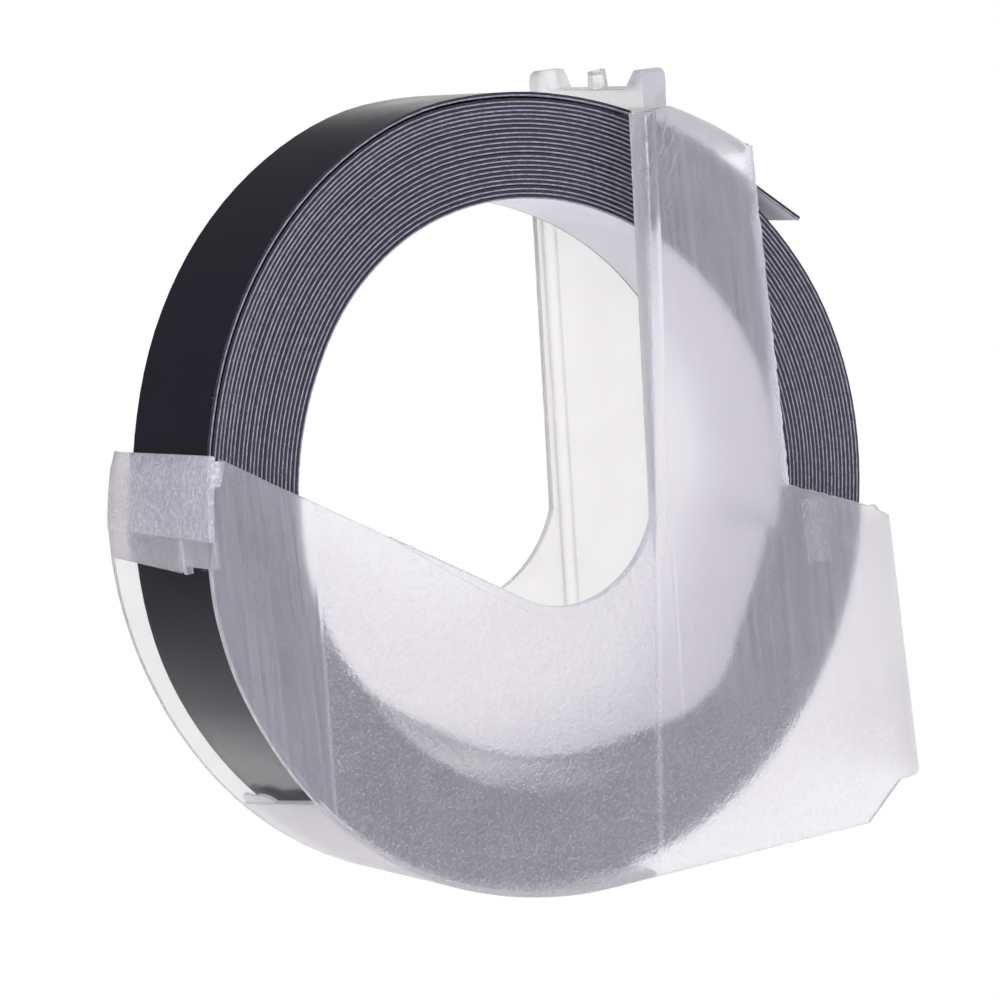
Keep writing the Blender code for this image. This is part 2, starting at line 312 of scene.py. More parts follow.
def plate_thickness(s):
    """Share of the plate's thickness at this distance along the sheet: least at the hinge."""
    t = clamped((s - BEND_X + 0.4) / 2.0)
    wall = 1 - (1 - WALL / PLATE) * t * t * (3 - 2 * t)
    hinge = math.exp(-(((s - BEND_X - BEND_LENGTH) / 0.22) ** 2))
    return wall * (1 - 0.5 * hinge)


def bent(s, depth, z, side):
    """A point of the flat sheet bent round the spine's corner. side is -1 for the cover's half."""
    depth *= plate_thickness(s)
    lean = SPINE_LEAN * clamped((s - 20.0) / 6.0) * (z - SPINE_LOW) / (SPINE_HIGH - SPINE_LOW)
    point = bent_upright(s, depth, z, side)
    point.x -= lean
    return point


def bent_upright(s, depth, z, side):
    """The same for a spine that doesn't lean."""
    if s <= BEND_X:
        return Vector((s, side * (FACE_Y - depth), z))
    if s <= BEND_X + BEND_LENGTH:
        turn = (s - BEND_X) / CORNER_R
        reach = CORNER_R - depth
        return Vector(
            (BEND_X + reach * math.sin(turn), side * (FACE_Y - CORNER_R + reach * math.cos(turn)), z)
        )
    return Vector((SPINE_X - depth, side * (FACE_Y - CORNER_R - (s - BEND_X - BEND_LENGTH)), z))


def rims(work, depth, left_out):
    """Edges of a flat sheet's outline at one depth, without those that left_out names."""
    return [
        e for e in work.edges if all(abs(v.co.y - depth) < 1e-4 for v in e.verts) and not left_out(e)
    ]


def slice_sheet(work, s):
    """Adds a line of vertices across the sheet, where it can bend."""
    everything = list(work.verts) + list(work.edges) + list(work.faces)
    bmesh.ops.bisect_plane(work, geom=everything, plane_co=(s, 0, 0), plane_no=(1, 0, 0), dist=1e-5)


def half_sheet(outline, seam, side):
    """One half of the case, bent from a flat sheet. Its end at the seam is marked for removal."""
    work = prism(outline, 0.0, PLATE)

    def at_seam(element):
        return all(abs(v.co.x - seam) < 1e-4 for v in element.verts)

    for depth, radius in ((0.0, ROUND), (PLATE, INNER_ROUND)):
        round_edges(work, rims(work, depth, at_seam), radius)
    lines = [BEND_X - 0.4 + 0.2 * i for i in range(3)]
    lines += [BEND_X + BEND_LENGTH * i / 12 for i in range(1, 13)]
    for s in lines:
        if s < seam - 0.02:
            slice_sheet(work, s)
    for face in work.faces:
        face.material_index = 1 if at_seam(face) else 0
    for v in work.verts:
        v.co = bent(v.co.x, v.co.y, v.co.z, side)
    bmesh.ops.recalc_face_normals(work, faces=work.faces)
    return work


def arm_left(z, side):
    """The arm's left edge."""
    return 6.54 + ARM_SLOPE * z if side < 0 else 7.70 + 0.056 * z


def between(value, knots):
    """Straight lines through (value, result) knots."""
    for (a, ra), (b, rb) in zip(knots, knots[1:]):
        if value <= b:
            return ra + (rb - ra) * clamped((value - a) / (b - a))
    return knots[-1][1]


def rim_radius(angle, side):
    return between(angle, NEAR_RIM if side < 0 else FAR_RIM)


def case_outline(side, seam):
    """Outline of one half in the flat sheet, anticlockwise seen from the cover's side."""
    angle_right = math.degrees(math.acos((ARM_RIGHT_X - TOP_CENTRE[0]) / TOP_R))
    top_left_x = 11.3 if side < 0 else arm_left(24.0, side)
    angle_left = math.degrees(math.acos((top_left_x - TOP_CENTRE[0]) / TOP_R))
    rim = []
    for i in range(46):
        a = 180 + i * 2
        radius = rim_radius(a, side)
        rim.append((radius * math.cos(math.radians(a)), radius * math.sin(math.radians(a))))
    left = [FREE_TOP, (-24.6, 5.0), (-24.95, 4.05), (-25.2, 2.8), (-25.4, 1.2)]
    if side > 0:
        left = [(-24.3, 6.1), (-24.75, 5.05), (-25.15, 3.4), (-25.35, 2.0), (-25.42, 1.0)]
    chamfer_low, chamfer_high = (CHAMFER_X[0], -RIM_R), (CHAMFER_X[1], SPINE_LOW - 0.05)
    base = line_points(rim[-1], chamfer_low, 1.0)
    chamfer = line_points(chamfer_low, chamfer_high, 0.5, 0.015, 3.1)
    low = line_points(chamfer_high, (seam, SPINE_LOW), 0.6, 0.012, 5.7)
    if side < 0:
        corner = (24.42, -4.9)
        bend = [(26.9, -5.96), (26.0, -5.6), (25.3, -5.36), (25.12, -5.1)]
        bend += [(24.9, -4.92), (24.72, -4.95)]
    else:
        corner = (24.4, -5.5)
        bend = [(27.2, -5.98), (26.0, -5.9)]
    high = line_points((seam, SPINE_HIGH), bend[0], 0.6, 0.008, 7.7) + bend
    arm_foot = (ARM_RIGHT_X + 0.1, -2.42)
    shoulder = line_points(corner, arm_foot, 0.25, 0.03, 9.2)
    arm_right = line_points(arm_foot, (ARM_RIGHT_X - 0.12, 19.45), 0.22, 0.05, 1.7)
    burr = [(17.42, 19.55), (17.5, 19.72), (17.3, 19.74), (17.12, 19.9)]
    top = curve_points(TOP_CENTRE, TOP_R, angle_right + 1.1, angle_left, 1.5)
    if side < 0:
        top += [(10.7, 22.98), (9.4, 22.92), (arm_left(22.9, side), 22.88)]
    notch = curve_points((0, 0), NOTCH_R[side < 0], NOTCH_RIGHT, NOTCH_LEFT, 4.0)
    arm_edge = line_points(top[-1], notch[0], 0.8, 0.012, 4.4)[1:]
    free = line_points(notch[-1], left[0], 0.8, 0.02, 8.8)[1:]
    return (
        left + rim[:-1] + base + chamfer + low + [(seam, SPINE_LOW)] + high + shoulder
        + arm_right + burr + top + arm_edge + notch + free
    )


def free_edge_path(side):
    """The free edge from the latch to the notch and up the arm."""
    notch = curve_points((0, 0), NOTCH_R[side < 0], NOTCH_LEFT, NOTCH_RIGHT, 4.0)
    start = (-13.0, -0.47)
    path = line_points(start, notch[0], 0.8) + notch
    end = (arm_left(6.0, side), 6.0)
    return path + line_points(notch[-1], end, 0.8)[1:] + [end]


def band_outline(path, near, far):
    """Outline of a strip beside a path, between two distances to its right."""
    sides = []
    for distance in (near, far):
        row = []
        for i, point in enumerate(path):
            before, after = path[max(i - 1, 0)], path[min(i + 1, len(path) - 1)]
            length = math.dist(before, after)
            across = ((after[1] - before[1]) / length, -(after[0] - before[0]) / length)
            taper = min(1.0, i / 9)
            reach = near + (distance - near) * (0.15 + 0.85 * taper)
            row.append((point[0] + across[0] * reach, point[1] + across[1] * reach))
        sides.append(row)
    return sides[0] + sides[1][::-1]


def plate_band(outline, side, proud, sunk=0.3, radius=0.04):
    """A raised strip on a plate's outer face."""
    outer = side * (FACE_Y + proud)
    work = prism(outline, *sorted((outer, side * (FACE_Y - sunk))))
    rim = [e for e in work.edges if all(abs(v.co.y - outer) < 1e-4 for v in e.verts)]
    round_edges(work, rim, radius, 2)
    return work


def ring_band(inner, outer, start, end, low, high, centre=(0, 0), step=2.0, radius=0.08):
    """Part of a ring between two radii, two angles and two depths, with rounded edges."""
    outline = curve_points(centre, outer, start, end, step) + curve_points(
        centre, inner, end, start, step
    )
    work = prism(outline, low, high)
    round_edges(work, sharp_edges(work), radius, 2)
    return work


# ---------------------------------------------------------------- case pieces


def near_rib():
    """The rib along the cover's arm, which fades out at the notch."""
    rows = []
    work = bmesh.new()
    height = RIB_PROUD[-1][0]
    while height > RIB_PROUD[0][0]:
        proud = between(height, RIB_PROUD)
        ragged = 0.035 * noise.noise(Vector((height * 2.1, 0.7, 3.1)))
        ragged += 0.02 * noise.noise(Vector((height * 6.3, 4.7, 1.1)))
        x = arm_left(height, -1) + max(0.0, -4.0 - height) * 0.1
        front = -FACE_Y - proud
        rows.append(
            [
                work.verts.new(c)
                for c in (
                    (x + 0.03, -FACE_Y + 0.2, height),
                    (x + 0.05, front + 0.06 + ragged, height),
                    (x + 0.12 + ragged, front, height),
                    (x + 0.88, front + 0.03, height),
                    (x + 1.04, front + 0.2, height),
                    (x + 1.12, -FACE_Y + 0.2, height),
                )
            ]
        )
        height -= 0.24
    skin(work, rows)
    return work


def far_rib():
    """The rib along the tray's arm."""
    corners = []
    for z in (-12.5, 22.6):
        x = arm_left(z, 1) + 0.5
        corners += [
            (x, FACE_Y - 0.35, z),
            (x + 1.3, FACE_Y - 0.35, z),
            (x + 1.12, FACE_Y + 0.42, z),
            (x + 0.18, FACE_Y + 0.42, z),
        ]
    return block(corners, 0.32)


def on_bridge(depth, y, z):
    """A point of the bridge, which leans with the arms."""
    x = 9.3 + BRIDGE_SKEW * (FACE_Y - y) + BRIDGE_LEAN * (z - 23.5) + depth
    return (x, y, z - BRIDGE_TILT * (FACE_Y - y))


def bridge():
    """The bar across the arms' tops with its two lugs."""
    near, far_end = -INNER_Y - 0.02, FACE_Y - 0.05
    far = far_end - 0.02
    profile = [(near, 23.1), (near, 25.2), (near + 0.1, 25.55), (near + 0.4, 25.78), (near + 1.0, 25.78)]
    profile += [(near + 1.16, 25.66), (near + 1.95, 24.72), (near + 2.15, 24.62)]
    profile += [(far - 2.5, 24.56), (far - 2.3, 24.66), (far - 1.62, 25.62), (far - 1.45, 25.76)]
    profile += [(far - 0.5, 25.76), (far - 0.1, 25.5), (far, 25.1), (far, 24.2)]
    profile += [(far_end, 23.8), (far_end, 23.0)]
    work = bmesh.new()
    rows = []
    for depth in (0.0, 1.85):
        rows.append([work.verts.new(on_bridge(depth, y, z)) for y, z in profile])
    work.faces.new(rows[0])
    work.faces.new(rows[1][::-1])
    for i in range(len(profile)):
        j = (i + 1) % len(profile)
        work.faces.new((rows[0][j], rows[0][i], rows[1][i], rows[1][j]))
    bmesh.ops.recalc_face_normals(work, faces=work.faces)
    edges = [
        e
        for e in work.edges
        if all(v in rows[0] for v in e.verts) or all(v in rows[1] for v in e.verts)
    ]
    round_edges(work, edges, 0.16, 3)
    return work


def stub():
    """The broken-off gate in the middle of the bridge, hollow at its top."""
    work = bmesh.new()
    rings = (
        (24.3, 0.28, 1.50, 0.32),
        (25.35, 0.30, 1.34, 0.28),
        (25.72, 0.31, 1.32, 0.27),
        (25.70, 0.42, 1.20, 0.17),
        (25.46, 0.48, 1.14, 0.12),
    )
    rows = []
    for k, (z, left, right, half) in enumerate(rings):
        rough = 0.0 if k < 2 else 0.06
        row = []
        for i, (depth, y) in enumerate(((left, -half), (right, -half), (right, half), (left, half))):
            row.append(work.verts.new(on_bridge(depth, y, z + rough * (i % 3 - 1))))
        rows.append(row)
    skin(work, rows, flip=True)
    return work


def wall_start(y):
    """Angle where the rim wall starts, which runs askew."""
    return 218.0 + 5.5 * clamped((y + INNER_Y) / (2 * INNER_Y))


def rim_wall():
    """The wall under the coil, from its torn start to the flat foot."""
    work = bmesh.new()
    rows = []
    for y in (-INNER_Y + 0.01, -3.0, 0.0, 3.0, INNER_Y + 0.3):
        share = (y + INNER_Y) / (2 * INNER_Y)
        start = wall_start(y)
        outer, inner = [], []
        for i in range(33):
            a = start + (270 - start) * i / 32
            radius = rim_radius(a, -1) * (1 - share) + rim_radius(a, 1) * share - 0.015
            c, s = math.cos(math.radians(a)), math.sin(math.radians(a))
            outer.append((radius * c, y, radius * s))
            inner.append(((radius - FLOOR_WALL) * c, y, (radius - FLOOR_WALL) * s))
        low = outer[-1][2]
        for x in (1.0, 2.0, 3.0, 4.1):
            z = low - 0.006 * x
            outer.append((x, y, z))
            inner.append((x, y, z + FLOOR_WALL))
        rows.append([work.verts.new(p) for p in outer + inner[::-1]])
    skin(work, rows)
    lips = [e for e in sharp_edges(work) if abs(e.verts[0].co.y - e.verts[1].co.y) > 1.0]
    round_edges(work, lips, 0.08, 2)
    return work


def torn_flake():
    """Thin torn lip at the rim wall's start."""
    ys = [0.9, 1.4, 2.0, 2.7, 3.4, 4.1, 4.7, 5.2, 5.6]
    reach = [0.0, 0.9, 1.3, 1.5, 1.2, 1.5, 1.9, 1.6, 0.8]
    work = bmesh.new()
    rows = []
    for radius in (rim_radius(223, 1) - 0.3, rim_radius(223, 1) - 0.1):
        row_a, row_b = [], []
        for y, r in zip(ys, reach):
            a = math.radians(wall_start(y) + 0.8)
            b = math.radians(wall_start(y) - r)
            lift = radius - 0.03 * r
            row_a.append(work.verts.new((radius * math.cos(a), y, radius * math.sin(a))))
            row_b.append(work.verts.new((lift * math.cos(b), y, lift * math.sin(b))))
        rows.append((row_a, row_b))
    (inner_a, inner_b), (outer_a, outer_b) = rows
    count = len(ys)
    for i in range(count - 1):
        work.faces.new((inner_a[i], inner_a[i + 1], inner_b[i + 1], inner_b[i]))
        work.faces.new((outer_a[i], outer_b[i], outer_b[i + 1], outer_a[i + 1]))
        work.faces.new((inner_b[i], inner_b[i + 1], outer_b[i + 1], outer_b[i]))
        work.faces.new((inner_a[i], outer_a[i], outer_a[i + 1], inner_a[i + 1]))
    work.faces.new((inner_a[0], inner_b[0], outer_b[0], outer_a[0]))
    work.faces.new((inner_a[-1], outer_a[-1], outer_b[-1], inner_b[-1]))
    bmesh.ops.recalc_face_normals(work, faces=work.faces)
    return work


def top_wall():
    """The wall over the coil, between the arms."""
    start = math.degrees(math.acos((17.25 - TOP_CENTRE[0]) / TOP_R))
    end = math.degrees(math.acos((10.4 - TOP_CENTRE[0]) / TOP_R))
    return ring_band(
        TOP_R - WALL, TOP_R - 0.02, start, end, -INNER_Y + 0.02, INNER_Y + 0.3, TOP_CENTRE, 1.5
    )


def rim_angle(z):
    """Angle of the rim's left side at a height."""
    return 180 - math.degrees(math.asin(z / RIM_R))


def strap():
    """The latch: a thick flap over a thinner lower band, with a lip that hooks over the cover."""
    far = FACE_Y - 0.06
    flap = ring_band(
        25.2, 25.66, rim_angle(6.1), rim_angle(1.35), -FACE_Y + 0.02, far, step=1.0, radius=0.12
    )
    high, low = rim_angle(6.02), rim_angle(4.45)
    raised = ring_band(25.3, RIM_R - 0.07, high, low, -FACE_Y - 0.05, 0.6, step=1.0, radius=0.05)
    lower = ring_band(
        25.1, 25.5, rim_angle(1.6), rim_angle(-0.38), -2.35, far - 0.1, step=1.0, radius=0.06
    )
    lip = block(
        [
            (-25.35, -FACE_Y - 0.32, 4.6),
            (-24.55, -FACE_Y - 0.30, 4.6),
            (-24.55, -FACE_Y, 4.6),
            (-25.35, -FACE_Y + 0.3, 4.6),
            (-25.0, -FACE_Y - 0.32, 6.08),
            (-24.05, -FACE_Y - 0.30, 6.08),
            (-24.05, -FACE_Y, 6.08),
            (-25.0, -FACE_Y + 0.3, 6.08),
        ],
        0.08,
    )
    for band in (flap, raised):
        for v in band.verts:
            across = (v.co.y + FACE_Y) / (2 * FACE_Y)  # 0 at the cover, 1 at the tray
            reach = 1 - across * between(v.co.z, FLAP_LEAN) / 25.5
            v.co.x *= reach
            v.co.z += 0.42 * (1 - across) * clamped((v.co.z - 3.0) / 3.0)
    for v in lower.verts:
        if v.co.z < 0.5:
            v.co.z -= 0.42 * clamped((6.4 - v.co.y) / 8.75)
    return [flap, raised, lower, lip]


def tongue():
    """The cover's half of the latch, with its snap rib."""
    top, low = rim_angle(1.32), rim_angle(-0.35)
    panel = ring_band(24.95, 25.42, top, low, -INNER_Y - 0.3, -2.45, step=0.8, radius=0.06)
    rib = ring_band(25.2, 25.56, top, rim_angle(-0.62), -2.92, -2.66, step=0.8, radius=0.06)
    nub = ring_band(25.0, 25.5, rim_angle(-0.3), rim_angle(-0.86), -3.05, -2.62, step=0.6, radius=0.08)
    return [panel, rib, nub]


def pad():
    """Raised rough patch near the arm's foot."""
    outline = [(18.42, -3.5), (18.5, -7.75), (20.35, -7.9), (20.42, -3.9)]
    return plate_band(outline, -1, 0.03, radius=0.02)


NEAR_SEAM = BEND_X + BEND_LENGTH - WEB
FAR_SEAM = BEND_X + BEND_LENGTH + 2 * (FACE_Y - CORNER_R) - WEB


def hinge_web():
    """The strip of the spine that bends when the case opens."""
    start, end = NEAR_SEAM, BEND_X + BEND_LENGTH + WEB
    outline = [(start, SPINE_LOW), (end, SPINE_LOW), (end, SPINE_HIGH), (start, SPINE_HIGH)]
    work = prism(outline, 0.0, PLATE)

    def upright(element):
        return all(abs(v.co.x - element.verts[0].co.x) < 1e-4 for v in element.verts)

    for depth, radius in ((0.0, ROUND), (PLATE, INNER_ROUND)):
        round_edges(work, rims(work, depth, upright), radius)
    ends = [f for f in work.faces if upright(f)]
    bmesh.ops.delete(work, geom=ends, context="FACES_ONLY")
    for i in range(1, 12):
        slice_sheet(work, start + (end - start) * i / 12)
    for v in work.verts:
        v.co = bent(v.co.x, v.co.y, v.co.z, -1)
    return to_object("hinge_web", work)


# ---------------------------------------------------------------- tape


def ribbon(name, stations, inner, outer, edge_out=0.0):
    """A strip along stations of (x, z, outward x, outward z, side shift), between two distances outwards."""
    work = bmesh.new()
    rows = []
    for x, z, nx, nz, shift in stations:
        row = []
        for reach, side in ((inner, -1), (outer, -1), (outer, 1), (inner, 1)):
            y = side * (HALF_TAPE + edge_out) + shift
            row.append(work.verts.new((x + nx * reach, y, z + nz * reach)))
        rows.append(row)
    skin(work, rows, flip=True)
    return to_object(name, work)


def through(angle, knots):
    """Radius at an angle, on a Catmull-Rom curve through (angle, radius) knots that run clockwise."""
    for k in range(len(knots) - 1):
        if knots[k][0] >= angle >= knots[k + 1][0]:
            break
    u = (knots[k][0] - angle) / (knots[k][0] - knots[k + 1][0])
    a, b, c, d = (knots[min(max(k + j, 0), len(knots) - 1)][1] for j in (-1, 0, 1, 2))
    return 0.5 * (
        2 * b + (c - a) * u + (2 * a - 5 * b + 4 * c - d) * u**2 + (3 * b - a - 3 * c + d) * u**3
    )


def spiral_radius(angle):
    """Radius of the tape's inner surface, winding outwards as the angle falls."""
    start = TAIL[-1][0]
    if angle >= start:
        return through(angle, TAIL)
    t = (start - angle) / (start - END_ANGLE)
    turn = (start - angle) / 360
    inner = through(angle % 360, INNER_SHAPE)
    outer = through(angle % 360, OUTER_SHAPE) - THICK
    radius = inner + (outer - inner) * t
    radius += (TAIL[-1][1] - through(start, INNER_SHAPE)) * max(0.0, 1 - turn * 2.5)
    loose = 0.026 * noise.noise(Vector((turn * 2.3, 1.7, 0.2)))
    loose += 0.014 * noise.noise(Vector((turn * 9.1, 5.3, 2.2)))
    last = (angle - END_ANGLE) / 360  # turns from the leader
    loose *= min(1.0, last / 1.6)
    # The last turn stands off the others a little, and so do the turns under it, less and less
    under = clamped((last - 1.0) / 0.1) * clamped((1.46 - last) / 0.2)
    radius -= STAND_OFF * under * under * (3 - 2 * under)
    if last >= 1.5:
        under = clamped((last % 1) / 0.1) * clamped((0.46 - last % 1) / 0.2)
        radius -= STAND_OFF * max(0.0, 1 - (last - 1.5) / 4) * under
    return radius + loose * min(1.0, turn)


def spiral_stations(first, last, step):
    """Stations for a ribbon along the spiral, which wanders a little from side to side."""
    count = math.ceil((first - last) / step)
    out = []
    for i in range(count + 1):
        angle = first + (last - first) * i / count
        radius = spiral_radius(angle)
        turn = (first - angle) / 360
        shift = 0.05 * noise.noise(Vector((math.floor(turn) * 0.9, turn * 1.3, 3.3)))
        shift += 0.025 * noise.noise(Vector((turn * 6.1, 0.3, 9.3)))
        a = math.radians(angle)
        c, s = math.cos(a), math.sin(a)
        out.append((radius * c, radius * s, c, s, shift))
    return out


def leader_stations():
    """The leader leaves the coil's last turn at a tangent."""
    out = []
    for x, z, c, s, shift in spiral_stations(SPLIT_ANGLE, END_ANGLE, 2.0):
        share = len(out) / ((SPLIT_ANGLE - END_ANGLE) / 2.0)
        share = share * share * (3 - 2 * share)
        reach = math.hypot(x, z)
        wanted = reach + (COIL_R - THICK - reach) * share
        out.append((wanted * c, wanted * s, c, s, shift))
    a = math.radians(LEADER_ANGLE)
    c, s = math.cos(a), math.sin(a)
    radius = COIL_R - THICK
    count = 16
    for i in range(1, count + 1):
        along = LEADER_TIP * i / count
        x, z = radius * c + s * along, radius * s - c * along
        out.append((x, z, c, s, out[-1][4] * 0.9))
    return out


# ---------------------------------------------------------------- materials


def add_node(tree, kind, values=(), **settings):
    """A shader node with its inputs linked to sockets or set to plain values."""
    made = tree.nodes.new(kind)
    for key, value in settings.items():
        setattr(made, key, value)
    for key, value in values:
        if isinstance(value, bpy.types.NodeSocket):
            tree.links.new(value, made.inputs[key])
        else:
            made.inputs[key].default_value = value
    return made


class Maths:
    """Short calls that add shader nodes to one material and give their output sockets."""

    def __init__(self, name):
        self.material = bpy.data.materials.new(name)
        self.material.use_nodes = True
        self.tree = self.material.node_tree
        self.shader = self.tree.nodes["Principled BSDF"]

    def node(self, kind, values=(), **settings):
        return add_node(self.tree, kind, values, **settings)

    def op(self, operation, *values, clamp=False):
        made = self.node("ShaderNodeMath", enumerate(values), operation=operation, use_clamp=clamp)
        return made.outputs[0]

    def times(self, first, *others):
        for other in others:
            first = self.op("MULTIPLY", first, other)
        return first

    def plus(self, first, *others):
        for other in others:
            first = self.op("ADD", first, other)
        return first

    def skewed(self, value, other, slope):
        """value less slope times other."""
        return self.op("SUBTRACT", value, self.times(other, slope))

    def coords(self):
        """Millimetres round the coil's axis."""
        place = self.node("ShaderNodeTexCoord").outputs["Object"]
        moved = self.node("ShaderNodeVectorMath", [(0, place), (1, AXIS)], operation="SUBTRACT")
        scaled = self.node("ShaderNodeVectorMath", [(0, moved.outputs[0]), (3, 1 / MM)], operation="SCALE")
        return scaled.outputs[0]

    def axes(self, vector):
        return self.node("ShaderNodeSeparateXYZ", [(0, vector)]).outputs

    def stretched(self, vector, by, turn=(0, 0, 0)):
        made = self.node("ShaderNodeMapping", [("Vector", vector), ("Scale", by), ("Rotation", turn)])
        return made.outputs[0]

    def noise(self, vector, scale, detail=2.0, rough=0.5):
        values = [("Vector", vector), ("Scale", scale), ("Detail", detail), ("Roughness", rough)]
        return self.node("ShaderNodeTexNoise", values).outputs["Fac"]

    def ramp(self, value, low, high, to_low=0.0, to_high=1.0):
        """to_low up to low, to_high from high on."""
        values = [("Value", value), ("From Min", low), ("From Max", high)]
        values += [("To Min", to_low), ("To Max", to_high)]
        made = self.node("ShaderNodeMapRange", values, interpolation_type="SMOOTHSTEP")
        return made.outputs["Result"]

    def falling(self, value, low, high):
        """1 up to low, 0 from high on."""
        return self.ramp(value, low, high, 1.0, 0.0)

    def band(self, value, low, full, fading, high):
        """1 from full to fading, 0 up to low and from high on."""
        return self.times(self.ramp(value, low, full), self.falling(value, fading, high))

    def colour(self, share, first, second):
        """Mix of two colours, each a socket or plain values."""
        values = [("Factor", share)]
        for socket, value in ((6, first), (7, second)):
            values.append((socket, value if isinstance(value, bpy.types.NodeSocket) else (*value, 1)))
        return self.node("ShaderNodeMix", values, data_type="RGBA").outputs[2]

    def bump(self, height):
        """height is in millimetres."""
        made = self.node("ShaderNodeBump", [("Height", height), ("Strength", 1.0), ("Distance", MM)])
        self.link(made.outputs[0], "Normal")

    def link(self, output, socket):
        self.tree.links.new(output, self.shader.inputs[socket])

    def set(self, **values):
        for key, value in values.items():
            self.shader.inputs[key.replace("_", " ")].default_value = value


def plate_line(m, x, z, start, end, width):
    """1 on the line through two points of the plate, falling to 0 at width from it."""
    length = math.dist(start, end)
    ux, uz = (end[0] - start[0]) / length, (end[1] - start[1]) / length
    dx = m.op("SUBTRACT", x, start[0])
    dz = m.op("SUBTRACT", z, start[1])
    across = m.plus(m.times(dx, uz), m.times(dz, -ux))
    along = m.plus(m.times(dx, ux), m.times(dz, uz))
    close = m.falling(m.op("ABSOLUTE", across), 0.0, width)
    return m.times(close, m.band(along, -0.5, 0.5, length - 0.8, length + 0.8))


def frosted(m, clarity, whiten, rough, height, tint):
    """Finishes a case plastic. clarity is how much of the light passes where nothing has whitened it."""
    m.link(m.times(m.op("SUBTRACT", 1.0, whiten, clamp=True), clarity), "Transmission Weight")
    m.link(rough, "Roughness")
    m.link(tint, "Base Color")
    m.set(IOR=1.49)
    m.bump(height)
    return m.material


def cover_plastic():
    """Frosted polypropylene: grained, but smooth and streaked on the arm and to the left of the crease."""
    m = Maths("case_cover_plastic")
    p = m.coords()
    x, y, z = m.axes(p)
    finer = m.noise(p, 13.0, 1.0, 0.5)
    cloud = m.noise(p, 0.35, 3.0, 0.55)
    peel = m.noise(p, 2.9, 2.0, 0.5)
    grit = m.ramp(m.noise(p, 8.2, 1.0, 0.5), 0.52, 0.73)
    streaks = m.noise(m.stretched(p, (5.0, 1.0, 0.11)), 1.0, 2.0, 0.6)

    arm = m.times(m.ramp(m.skewed(x, z, 0.08), 6.5, 7.3), m.ramp(z, -19.0, -13.0))
    left_of_crease = m.falling(m.skewed(x, z, 0.05), -18.5, -18.2)
    smooth = m.op("MAXIMUM", arm, left_of_crease)
    grained = m.op("SUBTRACT", 1.0, smooth, clamp=True)

    creases = [plate_line(m, x, z, *crease) for crease in CREASES]
    crease = m.op("MAXIMUM", m.op("MAXIMUM", creases[0], creases[1]), creases[2])

    # Rub marks at the arm's top left
    turned = m.stretched(p, (1.0, 1.0, 1.0), (0, math.radians(RUB_SLANT), 0))
    rub = m.noise(m.stretched(turned, (14.0, 1.0, 0.5)), 1.0, 2.0, 0.6)
    rubbed = m.times(m.ramp(rub, 0.56, 0.65), m.ramp(z, 15.5, 18.5), m.falling(x, 11.5, 14.0))

    # The arm's torn right edge
    edge = m.times(m.ramp(m.plus(x, m.times(cloud, 1.2)), 17.2, 18.1), m.falling(x, 17.7, 17.9))
    edge = m.times(edge, m.ramp(z, -2.6, -2.2), m.ramp(finer, 0.45, 0.68, 0.35, 1.0))

    # White bruises along the rib's front edge, and painted shade at the rib's foot: a strip made clearer so
    # that it reads as a dark line
    beside = m.skewed(x, z, ARM_SLOPE)
    front = m.plus(y, m.ramp(z, -2.0, 14.0, 0.0, 0.6))
    lip = m.times(m.band(beside, 6.54, 6.6, 6.66, 6.72), m.falling(front, -7.0, -6.85), m.ramp(z, -3.5, 2.0))
    lip = m.times(lip, m.ramp(m.noise(p, 2.6, 3.0, 0.6), 0.42, 0.66, 0.08, 0.85))
    clear = m.times(m.band(beside, 7.3, 7.42, 7.75, 7.9), m.ramp(z, -3.0, 0.0))

    # The latch's tongue with its snap rib, the rough patch at the arm's foot, and the notch's cut wall,
    # whitened as painted light so that it reads lighter
    latch = m.times(m.falling(x, -24.75, -24.6), m.ramp(z, -1.1, -1.0), m.ramp(y, -5.9, -5.8))
    snap = m.band(y, -2.98, -2.9, -2.68, -2.6)
    patch = m.times(m.band(x, 18.4, 18.5, 20.3, 20.45), m.band(z, -7.9, -7.75, -3.7, -3.5))
    facing = m.axes(m.node("ShaderNodeNewGeometry").outputs["True Normal"])[1]
    wall = m.times(m.falling(m.op("ABSOLUTE", facing), 0.25, 0.6), m.falling(z, -3.0, 0.0))
    wall = m.times(wall, m.band(x, -12.0, -8.0, 12.0, 14.0))

    whiten = m.plus(
        m.times(edge, 0.62),
        m.times(crease, 0.15),
        m.times(lip, 0.75),
        m.times(grit, m.plus(m.times(grained, 0.22), 0.05)),
        m.times(m.ramp(streaks, 0.35, 0.7), smooth, 0.08),
        m.times(rubbed, 0.26),
        # painted light on the notch's cut wall
        m.times(wall, 0.5),
        m.times(latch, m.plus(m.times(snap, 0.2), 0.13)),
        m.times(patch, 0.06),
    )
    height = m.plus(
        m.times(peel, grained, 0.055),
        m.times(grit, m.plus(m.times(grained, 0.010), 0.003)),
        m.times(crease, 0.016),
        m.times(patch, grit, 0.03),
        m.times(edge, finer, 0.04),
    )
    # Roughness below 0.28 leaves marks in a denoised picture
    rough = m.ramp(m.noise(p, 1.1, 2.0), 0.3, 0.7, 0.288, 0.34)
    rough = m.plus(rough, m.times(m.falling(y, -6.75, -6.6), 0.1))
    # The clearer strip at the rib's foot is painted shade, a dark line where the rib meets the plate
    clarity = m.plus(m.ramp(cloud, 0.3, 0.7, 0.89, 0.91), m.times(clear, 0.10))
    shade = m.op("SUBTRACT", 1.0, m.times(m.ramp(peel, 0.38, 0.62), grained, 0.75))
    tint = m.colour(shade, (0.945, 0.928, 0.94), (0.995, 0.982, 0.990))
    return frosted(m, clarity, whiten, rough, height, tint)


